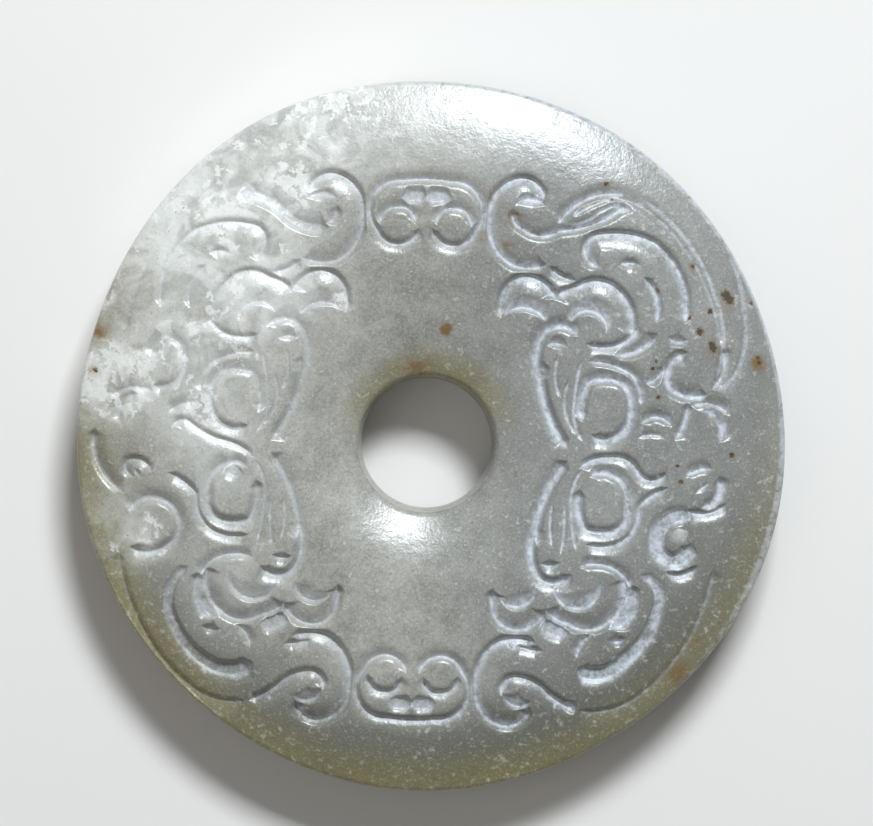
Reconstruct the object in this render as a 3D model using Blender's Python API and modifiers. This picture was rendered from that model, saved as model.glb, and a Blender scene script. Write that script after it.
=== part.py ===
"""A carved jade bi disc: a thick domed ring, lying on its plain back with the carving up.

The blank is turned, and its rim and bore are then moved a little out of true, as a disc ground
by hand is. The relief is cut by wheel strokes. Each stroke follows a chain of arcs and has one
steep wall and one gentle slope. The design is one quarter, mirrored left to right and top to
bottom, and some strokes are only in some quarters. Origin: the middle of the back's flat land,
on the surface that it rests on. +Z leaves the carved face, and +Y is the top of the design.
"""

import math

import bmesh
import bpy

MM = 0.001

# Overall sizes of the disc
OUTER_RADIUS = 30.0 * MM
BORE_RADIUS = 5.5 * MM
THICKNESS = 8.4 * MM
CREST_RADIUS = 16.5 * MM

# Height of the face where it meets the rim and the bore, and how fast it falls to them
FACE_AT_RIM = 5.9 * MM
FACE_AT_BORE = 6.2 * MM
RIM_FALL = 2.7
BORE_FALL = 2.3

# The plain back: a flat land, which curves up to the rim and to the bore
LAND_INNER_RADIUS = 9.5 * MM
LAND_OUTER_RADIUS = 24.0 * MM
BACK_AT_RIM = 1.3 * MM
BACK_AT_BORE = 0.6 * MM
BACK_SWEEP = 0.28

# Rounded edges of the rim, and of the bore, which is narrowest half way down
RIM_ROUND = 0.55 * MM
BORE_ROUND = 0.8 * MM
BORE_FLARE = 0.25 * MM
EDGE_LEAN = 64

# What the hand left out of true: the bore off centre, and the rim not quite round
BORE_SHIFT = (-0.33 * MM, -0.66 * MM)
BORE_SHIFT_REACH = 12.0 * MM
RIM_WANDER = ((2, 0.10 * MM, 2.2), (3, 0.12 * MM, 0.4), (5, 0.13 * MM, 1.9))
RIM_WANDER_REACH = 8.0 * MM

# Facets, and the distance within which points are made one
TURN_STEPS = 56
FACE_ROWS = 7
EDGE_FACETS = 2
STROKE_STEP = 1.5 * MM
STROKE_TURN = math.radians(30)
SHARP_EDGE = math.radians(35)
WELD = 0.001 * MM

# The design is drawn for a disc of this radius, and turned and moved a little on the blank
DRAWN_RADIUS = 30.0
DESIGN_TURN = math.radians(-1.7)
DESIGN_MOVE = (-0.9, -1.1)

# Wheel cuts: depth, width of the steep wall, width of the gentle slope, and roll of that slope
CUTS = {
    "groove": (0.40 * MM, 0.32 * MM, 0.62 * MM, 0.0),
    "roll": (0.46 * MM, 0.46 * MM, 1.30 * MM, 0.24),
    "slope": (0.46 * MM, 0.42 * MM, 1.25 * MM, 0.0),
    "scoop": (0.44 * MM, 0.36 * MM, 1.20 * MM, 0.0),
    "hollow": (0.44 * MM, 0.36 * MM, 0.70 * MM, 0.0),
    "body": (0.24 * MM, 0.60 * MM, 1.10 * MM, 0.12),
}
SCOOPS = ("scoop", "hollow")
WING_HEIGHT = 0.2 * MM
CROWN_HEIGHT = 0.6 * MM
FADE_LENGTH = 0.9 * MM
END_SHARE = 0.3

# Strokes of every quarter, as chains of arcs: start, a point on the way, end, and so on. The
# gentle slope is on the left of the wheel's way.
EVERY_QUARTER = {
    "snout": (
        "roll", (9.9, 21.4), (7.9, 23.1), (6.0, 22.0), (5.3, 19.7), (6.1, 16.9), (8.0, 15.7),
        (10.3, 15.9),
    ),
    "ball": ("groove", (6.6, 11.9), (7.1, 14.1), (8.7, 14.9), (10.2, 14.3), (11.1, 12.9)),
    "eye": (
        "roll", (17.4, 9.9), (17.6, 11.8), (16.4, 13.9), (14.7, 14.7), (13.0, 14.2), (11.6, 13.6),
        (11.0, 12.8),
    ),
    "lip": ("groove", (18.2, 11.3), (17.2, 9.8), (15.3, 9.15), (14.3, 9.2), (13.6, 9.5)),
    "seal": (
        "groove", (13.8, 2.9), (13.6, 4.6), (14.4, 6.3), (16.1, 6.4), (17.4, 5.7), (17.7, 4.2),
        (17.3, 2.4), (16.1, 1.5), (14.5, 1.8),
    ),
    "column": (
        "groove", (12.8, 0.3), (11.0, 3.2), (10.0, 6.4), (9.9, 9.0), (11.5, 10.8), (12.6, 10.5),
        (13.5, 9.7),
    ),
    "foot": ("groove", (10.5, 9.1), (11.3, 9.35), (12.4, 9.0)),
    "body": (
        "body", (13.2, 21.7), (16.0, 21.7), (18.6, 20.7), (21.4, 18.0), (23.2, 15.2), (24.6, 12.2),
        (25.1, 9.2),
    ),
    "knob": ("groove", (1.0, 18.9), (1.3, 20.1), (2.4, 20.5), (3.4, 20.0), (3.6, 18.9)),
}
UPPER = {
    "snout_dish": ("scoop", (7.5, 20.7), (8.7, 21.3), (10.1, 20.8)),
    "ball_scoop": ("scoop", (6.9, 11.8), (8.5, 12.3), (10.3, 11.3)),
    "eye_scoop": ("scoop", (12.4, 10.3), (13.9, 12.1), (15.5, 10.4)),
    "brow": ("groove", (12.9, 14.8), (11.4, 15.2), (10.3, 15.9)),
    "horn": (
        "roll", (21.7, 14.2), (20.7, 16.6), (18.7, 18.1), (16.8, 18.7), (14.8, 18.6), (13.4, 17.4),
        (14.4, 16.0),
    ),
    "seal_outer": ("groove", (13.9, 7.9), (15.8, 7.7), (17.5, 7.1), (18.5, 6.0), (18.5, 4.3)),
    "curl": ("groove", (23.3, 4.3), (25.0, 3.7), (25.6, 2.4), (24.9, 1.1), (22.8, 1.5)),
}
LOWER = {
    "hook": (
        "groove", (7.6, 20.6), (8.2, 19.1), (9.4, 18.9), (10.7, 19.5), (11.8, 20.5), (12.8, 21.2),
        (14.0, 21.6),
    ),
    "snout_dish": ("hollow", (10.0, 20.7), (8.9, 21.4), (7.7, 20.6)),
    "ball_scoop": ("hollow", (10.2, 11.6), (8.8, 12.85), (7.0, 12.3)),
    "eye_scoop": ("hollow", (15.6, 11.0), (14.2, 12.7), (12.0, 11.6)),
    "brow": ("groove", (10.8, 14.2), (11.9, 14.9), (13.2, 15.0)),
    "horn": (
        "slope", (13.8, 18.2), (15.7, 18.6), (17.6, 17.5), (19.4, 15.5), (20.4, 12.8), (20.2, 11.0),
        (19.1, 10.2),
    ),
    "moon": ("groove", (18.4, 10.9), (18.5, 13.0), (17.0, 14.6)),
    "seal_outer": (
        "groove", (14.0, 7.4), (15.8, 7.65), (17.5, 7.0), (18.4, 5.7), (18.6, 4.2), (19.5, 3.35),
        (21.2, 2.45),
    ),
}
TOP_RIGHT = {
    "leaf_low": ("groove", (7.6, 20.2), (8.1, 18.9), (9.6, 18.4), (13.5, 19.0), (16.9, 21.3)),
    "leaf_high": ("groove", (11.3, 19.4), (13.6, 21.5), (16.6, 21.9)),
    "ring": ("groove", (22.5, 8.9), (20.8, 7.8), (20.9, 5.9), (22.4, 5.2), (24.3, 5.5)),
    "wave": ("groove", (18.5, 2.6), (19.6, 3.4), (21.2, 2.5)),
    "lip_low": ("groove", (15.9, 8.6), (18.0, 8.9), (19.8, 10.6)),
}
TOP_LEFT = {
    "snout_slope": ("slope", (8.1, 18.9), (10.2, 18.7), (12.0, 19.8), (13.8, 20.9), (15.9, 21.2)),
    "ring": (
        "groove", (22.9, 4.8), (21.1, 5.0), (20.0, 6.9), (20.4, 8.5), (21.5, 8.95), (22.5, 8.3),
        (22.9, 7.0),
    ),
    "wave": (
        "groove", (20.9, 1.2), (20.4, 1.9), (19.5, 2.0), (18.4, 1.2), (16.9, 0.5), (15.2, 0.0),
        (13.8, -1.0),
    ),
    "wave_high": ("groove", (18.7, 3.5), (20.1, 3.35), (21.3, 2.5)),
}
LOW_RIGHT = {
    "ring": (
        "groove", (23.2, 5.1), (21.2, 5.2), (20.2, 7.0), (20.7, 8.3), (21.8, 8.7), (22.7, 8.1),
        (23.1, 7.0),
    ),
    "ring_low": ("groove", (20.8, 9.6), (22.4, 9.95), (23.8, 9.1)),
    "curl": ("groove", (23.3, 4.2), (25.0, 3.6), (25.6, 2.3), (24.9, 1.1), (22.8, 1.5)),
    "wave": (
        "groove", (13.4, 1.2), (14.6, 0.35), (16.1, 0.1), (17.5, 0.3), (18.4, 1.2), (19.4, 1.95),
        (20.9, 1.0),
    ),
}
LOW_LEFT = {
    "ring": (
        "groove", (24.3, 6.1), (23.0, 4.7), (21.4, 4.8), (20.0, 6.6), (20.8, 8.5), (22.4, 9.2),
        (24.3, 8.8),
    ),
    "curl": ("groove", (23.6, 4.2), (25.1, 3.6), (25.7, 2.3), (24.9, 1.1), (22.8, 1.5)),
}

# Mirror signs of each quarter, and the strokes that it has
QUARTERS = {
    "top_right": (1, 1, EVERY_QUARTER | UPPER | TOP_RIGHT),
    "top_left": (-1, 1, EVERY_QUARTER | UPPER | TOP_LEFT),
    "low_right": (1, -1, EVERY_QUARTER | LOWER | LOW_RIGHT),
    "low_left": (-1, -1, EVERY_QUARTER | LOWER | LOW_LEFT),
}

# The scroll at the top and at the bottom, which crosses the middle line
SCROLL = {
    "scroll": (
        "groove", (-0.5, 18.9), (-2.1, 17.4), (-4.1, 18.6), (-4.2, 21.6), (-2.0, 22.65),
        (0.0, 22.8), (2.0, 22.65), (4.2, 21.6), (4.1, 18.6), (2.1, 17.4), (0.5, 18.9),
    ),
    "scroll_bar": ("groove", (-1.8, 21.2), (0.0, 21.35), (1.8, 21.2)),
}

STONE_COLOUR = (0.34, 0.36, 0.31, 1.0)
STONE_ROUGHNESS = 0.34


def clear_scene():
    for thing in list(bpy.data.objects):
        bpy.data.objects.remove(thing, do_unlink=True)


def collection_named(name, rendered=True):
    collection = bpy.data.collections.new(name)
    collection.hide_render = not rendered
    bpy.context.scene.collection.children.link(collection)
    return collection


def stone():
    material = bpy.data.materials.new("pale_jade")
    material.use_nodes = True
    shader = material.node_tree.nodes["Principled BSDF"]
    shader.inputs["Base Color"].default_value = STONE_COLOUR
    shader.inputs["Roughness"].default_value = STONE_ROUGHNESS
    shader.inputs["Metallic"].default_value = 0.0
    return material


def face_height(radius):
    """Height of the uncut domed face at this distance from the middle."""
    if radius > CREST_RADIUS:
        share = (radius - CREST_RADIUS) / (OUTER_RADIUS - CREST_RADIUS)
        return THICKNESS - (THICKNESS - FACE_AT_RIM) * share**RIM_FALL
    share = (CREST_RADIUS - radius) / (CREST_RADIUS - BORE_RADIUS)
    return THICKNESS - (THICKNESS - FACE_AT_BORE) * share**BORE_FALL


def edge(radius, height, size, start, end):
    """Points of a rounded edge: an arc about (radius, height), between two angles in degrees."""
    for facet in range(EDGE_FACETS + 1):
        angle = math.radians(start + (end - start) * facet / EDGE_FACETS)
        yield radius + size * math.cos(angle), height + size * math.sin(angle)


def section():
    """The ring's section as (radius, height), down its outer side and back through the bore."""
    mouth = BORE_RADIUS + BORE_FLARE + BORE_ROUND
    brim = OUTER_RADIUS - RIM_ROUND
    rim_low, rim_high = BACK_AT_RIM + RIM_ROUND, face_height(brim) - RIM_ROUND
    bore_low, bore_high = BACK_AT_BORE + BORE_ROUND, face_height(mouth) - BORE_ROUND
    rows = [mouth + (brim - mouth) * row / FACE_ROWS for row in range(FACE_ROWS + 1)]
    return [
        *((radius, face_height(radius)) for radius in rows),
        *edge(brim, rim_high, RIM_ROUND, EDGE_LEAN, 0),
        *edge(brim, rim_low, RIM_ROUND, 0, -EDGE_LEAN),
        ((brim + LAND_OUTER_RADIUS) / 2, BACK_AT_RIM * BACK_SWEEP),
        (LAND_OUTER_RADIUS, 0.0),
        (LAND_INNER_RADIUS, 0.0),
        *edge(mouth, bore_low, BORE_ROUND, EDGE_LEAN - 180, -180),
        (BORE_RADIUS, (bore_low + bore_high) / 2),
        *edge(mouth, bore_high, BORE_ROUND, 180, 180 - EDGE_LEAN),
    ]


def out_of_true(x, y):
    """Where the hand-worked blank has the point that a true turned ring has at (x, y)."""
    radius = math.hypot(x, y)
    angle = math.atan2(y, x)
    near_bore = min(1.0, max(0.0, (BORE_SHIFT_REACH - radius) / (BORE_SHIFT_REACH - BORE_RADIUS)))
    near_bore = near_bore * near_bore * (3 - 2 * near_bore)
    near_rim = max(0.0, 1 - (OUTER_RADIUS - radius) / RIM_WANDER_REACH)
    wander = near_rim * sum(
        size * math.cos(waves * angle + phase) for waves, size, phase in RIM_WANDER
    )
    stretch = 1 + wander / radius
    return x * stretch + BORE_SHIFT[0] * near_bore, y * stretch + BORE_SHIFT[1] * near_bore


def face_under(x, y):
    """Height of the blank's face at (x, y), once the blank is out of true."""
    moved_x, moved_y = out_of_true(x, y)
    return face_height(math.hypot(2 * x - moved_x, 2 * y - moved_y))


def turned_blank(collection):
    outline = bmesh.new()
    corners = [outline.verts.new((radius, 0.0, height)) for radius, height in section()]
    for first, second in zip(corners, corners[1:] + corners[:1]):
        outline.edges.new((first, second))
    mesh = bpy.data.meshes.new("disc_section")
    outline.to_mesh(mesh)
    outline.free()
    lathe = bpy.data.objects.new("disc_section", mesh)
    collection.objects.link(lathe)
    screw = lathe.modifiers.new("turn", "SCREW")
    screw.axis = "Z"
    screw.angle = math.tau
    screw.steps = TURN_STEPS
    screw.render_steps = TURN_STEPS
    screw.use_merge_vertices = True
    screw.merge_threshold = WELD
    graph = bpy.context.evaluated_depsgraph_get()
    turned = bpy.data.meshes.new_from_object(lathe.evaluated_get(graph))
    bpy.data.objects.remove(lathe, do_unlink=True)
    for vertex in turned.vertices:
        vertex.co.x, vertex.co.y = out_of_true(vertex.co.x, vertex.co.y)
    turned.name = "jade_disc"
    turned.shade_smooth()
    turned.set_sharp_from_angle(angle=SHARP_EDGE)
    disc = bpy.data.objects.new("jade_disc", turned)
    collection.objects.link(disc)
    return disc


def arc(start, way, end):
    """Points on the arc from start through way to end, without its first point."""
    (ax, ay), (bx, by), (cx, cy) = start, way, end
    double_area = 2 * (ax * (by - cy) + bx * (cy - ay) + cx * (ay - by))
    a2, b2, c2 = ax * ax + ay * ay, bx * bx + by * by, cx * cx + cy * cy
    mx = (a2 * (by - cy) + b2 * (cy - ay) + c2 * (ay - by)) / double_area
    my = (a2 * (cx - bx) + b2 * (ax - cx) + c2 * (bx - ax)) / double_area
    radius = math.hypot(ax - mx, ay - my)
    first = math.atan2(ay - my, ax - mx)
    sweep = (math.atan2(cy - my, cx - mx) - first) % math.tau
    if (math.atan2(by - my, bx - mx) - first) % math.tau > sweep:
        sweep -= math.tau
    pieces = max(2, math.ceil(abs(sweep) / STROKE_TURN), math.ceil(abs(sweep) * radius * MM / STROKE_STEP))
    angles = [first + sweep * piece / pieces for piece in range(1, pieces + 1)]
    return [(mx + radius * math.cos(angle), my + radius * math.sin(angle)) for angle in angles]


def on_blank(point, left_right, top_bottom):
    """A point of the quarter's drawing, mirrored and then placed on the blank, in metres."""
    u, v = point[0] * left_right, point[1] * top_bottom
    turned_x = math.cos(DESIGN_TURN) * u - math.sin(DESIGN_TURN) * v
    turned_y = math.sin(DESIGN_TURN) * u + math.cos(DESIGN_TURN) * v
    scale = OUTER_RADIUS / DRAWN_RADIUS
    return (turned_x + DESIGN_MOVE[0]) * scale, (turned_y + DESIGN_MOVE[1]) * scale


def stroke_path(points, left_right=1, top_bottom=1):
    """The wheel's way on the blank. A mirrored one runs backwards, so its slope stays on the left."""
    path = [points[0]]
    for index in range(0, len(points) - 2, 2):
        path += arc(*points[index:index + 3])
    path = [on_blank(point, left_right, top_bottom) for point in path]
    return path if left_right == top_bottom else path[::-1]


def fade(kind, path):
    """How full the cut is at each point: a scoop swells to its middle, other cuts fade at their ends."""
    run = [0.0]
    for first, second in zip(path, path[1:]):
        run.append(run[-1] + math.dist(first, second))
    whole = run[-1]
    if kind in SCOOPS:
        return [max(END_SHARE, math.sin(math.pi * way / whole)) for way in run]
    return [END_SHARE + (1 - END_SHARE) * min(1.0, min(way, whole - way) / FADE_LENGTH) for way in run]


def cut_profile(kind):
    """Section of one cut: its bottom, a steep wall on the right and a gentle slope on the left.

    Both run on to wings above the face, and the top between them is arched, to clear the dome.
    """
    depth, steep, gentle, roll = CUTS[kind]
    spread = (depth + WING_HEIGHT) / depth
    points = [(steep * spread, WING_HEIGHT), (0.0, -depth)]
    if roll:
        points.append((-gentle / 2, -depth * (0.5 - roll)))
    points.append((-gentle * spread, WING_HEIGHT))
    points.append(((steep - gentle) * spread / 2, CROWN_HEIGHT))
    curve = bpy.data.curves.new("cut_" + kind, "CURVE")
    curve.dimensions = "2D"
    spline = curve.splines.new("POLY")
    spline.points.add(len(points) - 1)
    for place, (x, y) in zip(spline.points, points):
        place.co = (x, y, 0.0, 1.0)
    spline.use_cyclic_u = True
    profile = bpy.data.objects.new("cut_" + kind, curve)
    profile.hide_render = True
    return profile


def stroke_cutter(name, kind, path, profile, collection):
    curve = bpy.data.curves.new(name, "CURVE")
    curve.dimensions = "3D"
    curve.twist_mode = "Z_UP"
    curve.bevel_mode = "OBJECT"
    curve.bevel_object = profile
    curve.use_fill_caps = True
    spline = curve.splines.new("POLY")
    spline.points.add(len(path) - 1)
    for place, (x, y), share in zip(spline.points, path, fade(kind, path)):
        place.co = (x, y, 0.0, 1.0)
        place.radius = share
    sweep = bpy.data.objects.new(name, curve)
    collection.objects.link(sweep)
    graph = bpy.context.evaluated_depsgraph_get()
    mesh = bpy.data.meshes.new_from_object(sweep.evaluated_get(graph))
    cutter = bpy.data.objects.new(name + "_cutter", mesh)
    cutter.matrix_world = sweep.matrix_world
    bpy.data.objects.remove(sweep, do_unlink=True)
    shape = bmesh.new()
    shape.from_mesh(mesh)
    bmesh.ops.remove_doubles(shape, verts=shape.verts, dist=WELD)
    for vertex in shape.verts:
        vertex.co.z += face_under(vertex.co.x, vertex.co.y)
    bmesh.ops.recalc_face_normals(shape, faces=shape.faces)
    shape.to_mesh(mesh)
    shape.free()
    cutter.hide_render = True
    cutter.display_type = "WIRE"
    collection.objects.link(cutter)
    return cutter


def design():
    """Every stroke on the disc: its name, its kind and its path."""
    for where, (left_right, top_bottom, strokes) in QUARTERS.items():
        for motif, (kind, *points) in strokes.items():
            yield f"{motif}_{where}", kind, stroke_path(points, left_right, top_bottom)
    for top_bottom, where in ((1, "top"), (-1, "low")):
        for motif, (kind, *points) in SCROLL.items():
            yield f"{motif}_{where}", kind, stroke_path(points, 1, top_bottom)


def main():
    clear_scene()
    parts = collection_named("carved_jade_disc")
    cutters = collection_named("wheel_cuts", rendered=False)
    disc = turned_blank(parts)
    disc.data.materials.append(stone())
    profiles = {kind: cut_profile(kind) for kind in CUTS}
    for name, kind, path in design():
        stroke_cutter(name, kind, path, profiles[kind], cutters)
    for profile in profiles.values():
        bpy.data.objects.remove(profile, do_unlink=True)
    carving = disc.modifiers.new("carving", "BOOLEAN")
    carving.operation = "DIFFERENCE"
    carving.operand_type = "COLLECTION"
    carving.collection = cutters
    carving.solver = "EXACT"


main()
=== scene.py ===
"""A carved jade bi disc: the polished, softly worn stone that replaces the plain solid.

The disc is one closed surface, a section carried once round the middle. Its face is lowered by
wheel cuts, which follow chains of arcs. Lengths in the tables are millimetres on the drawing.
"""

import bpy
import numpy as np
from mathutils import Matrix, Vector


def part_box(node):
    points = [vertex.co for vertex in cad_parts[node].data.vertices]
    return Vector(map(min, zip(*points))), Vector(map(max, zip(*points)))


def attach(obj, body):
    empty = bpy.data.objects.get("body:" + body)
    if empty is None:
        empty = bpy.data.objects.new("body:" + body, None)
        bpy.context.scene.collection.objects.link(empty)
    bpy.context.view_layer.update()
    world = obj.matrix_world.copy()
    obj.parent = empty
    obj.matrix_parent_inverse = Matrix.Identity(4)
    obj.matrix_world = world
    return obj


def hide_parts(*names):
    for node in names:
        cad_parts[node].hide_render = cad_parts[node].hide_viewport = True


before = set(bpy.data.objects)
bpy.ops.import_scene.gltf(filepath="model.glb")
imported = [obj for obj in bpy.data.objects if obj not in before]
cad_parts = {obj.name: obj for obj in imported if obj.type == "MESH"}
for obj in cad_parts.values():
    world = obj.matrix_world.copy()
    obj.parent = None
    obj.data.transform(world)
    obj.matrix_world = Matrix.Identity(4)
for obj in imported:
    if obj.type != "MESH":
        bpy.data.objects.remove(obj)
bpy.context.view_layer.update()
SOLID_LOW, SOLID_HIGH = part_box("jade_disc")

bl_info = {
    "name": "Carved jade disc",
    "version": (1, 0, 0),
    "blender": (4, 5, 0),
    "location": "View3D > Sidebar > Jade disc",
    "description": "Builds a domed jade ring with a wheel-cut scroll relief",
    "category": "Add Mesh",
}

MM = 0.001

# The photograph's frame, where the disc lies in it, and its width there, in pixels
FRAME_WIDTH_PX, FRAME_HEIGHT_PX = 873, 826
DISC_CENTRE_PX = (430, 437)
DISC_WIDTH_PX = 711

# The hand-worked blank: bore off centre, and rim not quite round (waves, size, phase)
BORE_SHIFT = np.array((-0.33, -0.66))
BORE_SHIFT_REACH = 12.0
RIM_WANDER = ((2, 0.10, 2.2), (3, 0.12, 0.4), (5, 0.13, 1.9))
RIM_WANDER_REACH = 8.0

# The slight waves of the hand polish, each as its turn per millimetre across and up, its phase and
# its size, and the height over which they set in above the rim's face
POLISH_WAVES = (
    (0.31, 0.12, 0.4, 0.016), (-0.17, 0.37, 1.9, 0.014),
    (0.62, -0.45, 0.9, 0.007), (0.2, 0.8, 2.6, 0.006),
)
POLISH_RAMP = 0.6

# How many points the section has on each of its stretches
EDGE_POINTS = 9
INNER_FACE_POINTS, OUTER_FACE_POINTS = 16, 12
RIM_POINTS, BORE_POINTS = 12, 16
OUTER_BACK_POINTS, LAND_POINTS, INNER_BACK_POINTS = 16, 20, 10

# The drawing's turn and place on the blank
DESIGN_TURN = np.radians(-1.7)
DESIGN_MOVE = np.array((-0.9, -1.1))
QUARTERS = {"top_right": (1, 1), "top_left": (-1, 1), "low_right": (1, -1), "low_left": (-1, -1)}

# Wheel cuts: depth, half width of the flat floor, width of the steep side, width of the gentle
# side, how round both are, how deep the frost starts, and how the cut fades along its way
CUTS = {
    "groove": (0.50, 0.05, 0.70, 1.20, 2.4, 0.34, "ends"),
    "band": (0.56, 0.12, 0.75, 1.40, 2.4, 0.32, "ends"),
    "roll": (0.60, 0.08, 0.70, 1.90, 2.6, 0.36, "ends"),
    "floor": (0.46, 0.42, 0.50, 0.75, 1.8, 0.20, "ends"),
    "horn": (0.58, 0.50, 0.45, 1.10, 1.8, 0.22, "tail"),
    "scoop": (0.52, 0.06, 0.40, 1.45, 1.5, 0.15, "whole"),
    "slope": (0.60, 0.30, 0.50, 1.30, 1.6, 0.12, "ends"),
    "dish": (0.44, 0.12, 0.70, 0.70, 1.6, 0.20, "whole"),
    "soft": (0.13, 0.12, 0.50, 0.70, 1.7, 0.70, "ends"),
    "line": (0.20, 0.04, 0.34, 0.50, 2.0, 0.40, "ends"),
    "body": (0.26, 0.05, 0.50, 1.60, 2.2, 0.75, "ends"),
}

# How the cuts are worked out: the length over which an end fades, the power of a cut that swells
# once and the loss of one that tails off, the least share that counts, how far ahead of its depth
# the frost starts and how it ramps, the step along a way, and the power that blends two cuts
FADE_LENGTH = 0.9
SWELL_POWER = 0.7
TAIL_LOSS = 0.62
LEAST_SHARE = 0.02
FROST_LEAD = 0.1
FROST_RAMP = 0.7
WAY_STEP = 0.12
LEAST_STEPS = 4
EASING_ROUNDS = 3
CUT_BLEND = 4.0

# Where the carving is worn: a place on the disc, how far the wear reaches, and its share
WEAR_CENTRE = (-19.0, 9.0)
WEAR_REACH = 19.0
WEAR_SHARE = 0.5

# Strokes of every quarter, as chains of arcs: start, a point on the way, end, and so on. The
# gentle slope is on the left of the wheel's way.
QUARTER = (
    ("roll", (9.9, 21.2), (9.3, 22.6), (7.8, 23.1), (5.9, 21.9), (5.3, 19.7), (5.8, 17.3),
     (7.4, 15.8), (8.8, 15.6), (10.4, 16.0)),
    ("roll", (11.1, 12.9), (10.3, 14.2), (8.7, 14.9), (7.1, 14.2), (6.5, 12.6), (6.4, 12.0),
     (6.7, 11.3)),
    ("roll", (17.4, 9.9), (17.6, 11.8), (16.4, 13.9), (14.7, 14.7), (13.0, 14.2), (11.7, 13.7),
     (10.9, 12.9)),
    ("groove", (18.2, 11.3), (17.2, 9.8), (15.3, 9.15), (14.3, 9.2), (13.6, 9.5)),
    ("band", (13.7, 2.7), (13.55, 4.5), (14.1, 6.2), (15.4, 6.45), (16.7, 6.25), (17.5, 5.4),
     (17.6, 4.2), (17.3, 2.4), (16.1, 1.5), (15.0, 1.45), (14.3, 1.9)),
    ("band", (12.6, 0.4), (10.9, 3.2), (10.0, 6.4), (9.7, 8.8), (10.4, 10.4), (11.8, 10.8),
     (13.2, 9.9)),
    ("groove", (10.3, 9.1), (11.2, 9.35), (12.3, 9.0)),
    ("groove", (10.2, 8.0), (10.1, 7.0), (10.3, 5.8)),
    ("line", (13.5, 8.2), (13.1, 6.6), (12.9, 4.6), (13.1, 2.4), (13.9, 1.0)),
    ("body", (13.9, 21.6), (15.6, 21.7), (18.4, 20.8), (21.0, 18.5), (22.7, 16.2), (24.3, 12.7),
     (25.1, 9.2)),
    ("groove", (0.95, 18.9), (1.3, 20.1), (2.45, 20.4), (3.55, 19.9), (3.75, 18.7)),
    ("floor", (-0.35, 21.25), (1.0, 21.35), (2.3, 21.15)),
)

# Strokes that only the upper or the lower quarters have
HOOK = ("groove", (7.6, 20.6), (7.6, 19.5), (8.6, 18.85), (10.1, 19.2), (11.3, 20.1),
        (12.8, 21.1), (14.0, 21.6))
UPPER = (
    ("dish", (7.5, 21.0), (8.7, 21.4), (10.0, 20.9)),
    ("scoop", (6.8, 11.6), (8.5, 12.3), (10.4, 11.0)),
    ("scoop", (12.3, 10.9), (13.9, 12.2), (15.4, 10.4)),
    ("groove", (13.0, 14.7), (11.3, 15.1), (10.3, 16.0)),
    ("roll", (22.0, 11.2), (21.8, 14.6), (19.3, 18.0), (16.8, 18.7), (14.8, 18.6), (13.5, 17.8),
     (13.4, 17.0), (13.9, 16.2), (14.9, 15.9)),
    ("groove", (18.3, 16.0), (17.2, 16.3), (16.1, 16.0)),
    ("groove", (19.5, 11.2), (19.6, 13.4), (18.2, 15.2)),
    ("groove", (13.9, 7.9), (15.8, 7.7), (17.7, 6.9), (18.4, 5.7), (18.4, 4.2)),
    ("band", (23.6, 4.1), (25.2, 3.1), (25.1, 1.3)),
    ("groove", (22.4, 4.25), (24.2, 4.65), (26.2, 3.5)),
    ("line", (12.5, 6.4), (12.1, 3.9), (13.4, 1.6)),
    ("line", (11.6, 8.6), (11.2, 6.6), (11.9, 4.6)),
)
LOWER = (
    HOOK,
    ("scoop", (10.0, 20.9), (8.9, 21.35), (7.7, 20.3)),
    ("scoop", (10.2, 11.2), (8.8, 12.85), (7.0, 12.1)),
    ("scoop", (15.6, 10.6), (14.4, 12.7), (11.6, 11.2)),
    ("floor", (10.7, 13.7), (11.4, 14.6), (13.2, 14.9)),
    ("groove", (8.2, 16.1), (9.6, 16.45), (11.1, 16.6)),
    ("floor", (17.9, 10.6), (18.2, 12.6), (16.8, 14.7)),
    ("floor", (17.5, 12.2), (17.3, 13.7), (16.2, 14.5)),
    ("groove", (18.0, 15.2), (17.2, 15.65), (16.2, 15.5)),
    ("groove", (15.3, 15.0), (14.1, 15.9), (13.8, 17.2)),
    ("line", (12.0, 21.8), (12.1, 21.1), (12.7, 20.6)),
    ("groove", (14.0, 7.4), (15.8, 7.65), (17.5, 7.0), (18.4, 5.7), (18.6, 4.2), (19.5, 3.35),
     (21.2, 2.45)),
    ("line", (23.1, 3.1), (23.8, 2.5), (24.7, 1.9)),
    ("line", (12.3, 4.0), (12.4, 6.4), (12.1, 8.6)),
    ("line", (11.4, 3.9), (11.2, 6.1), (11.5, 8.0)),
)
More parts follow.
